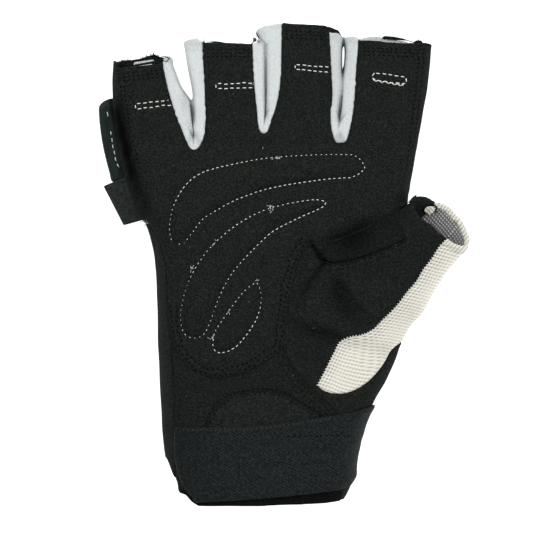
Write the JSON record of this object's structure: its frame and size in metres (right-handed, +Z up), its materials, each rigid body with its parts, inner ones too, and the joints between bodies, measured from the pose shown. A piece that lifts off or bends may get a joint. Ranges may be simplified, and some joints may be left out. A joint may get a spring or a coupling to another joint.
{
  "type": "fingerless exercise glove",
  "caption": "Right-hand fingerless lifting glove lying palm up: dark suede palm with padded cells, pale gussets between the fingers, knit thumb and wide elastic cuff.",
  "frame": {"origin": "middle of the glove's bounding box, on the surface the back of the glove lies on", "axes": "+X from the little finger's side to the thumb's side, +Y from the wrist to the fingertips, +Z up, out of the palm"},
  "size_m": [0.126, 0.1638, 0.0301],
  "materials": {
    "palm_suede": "matte",
    "back_cloth": "matte",
    "gusset_cloth": "matte",
    "thumb_knit": "matte",
    "elastic_band": "matte",
    "smooth_strap": "satin",
    "woven_tab": "satin"
  },
  "bodies": {
    "root": {"palm_upper": "palm_suede", "palm_heel": "palm_suede", "heel_patch": "palm_suede", "thumb_palm": "palm_suede", "thumb_web_patch": "palm_suede", "thumb_knit_back": "thumb_knit", "gusset_little_ring": "gusset_cloth", "gusset_ring_middle": "gusset_cloth", "gusset_middle_index": "gusset_cloth", "back_panel": "back_cloth", "cuff_band": "elastic_band", "pull_strap": "smooth_strap", "size_tab": "woven_tab"}
  },
  "joints": []
}
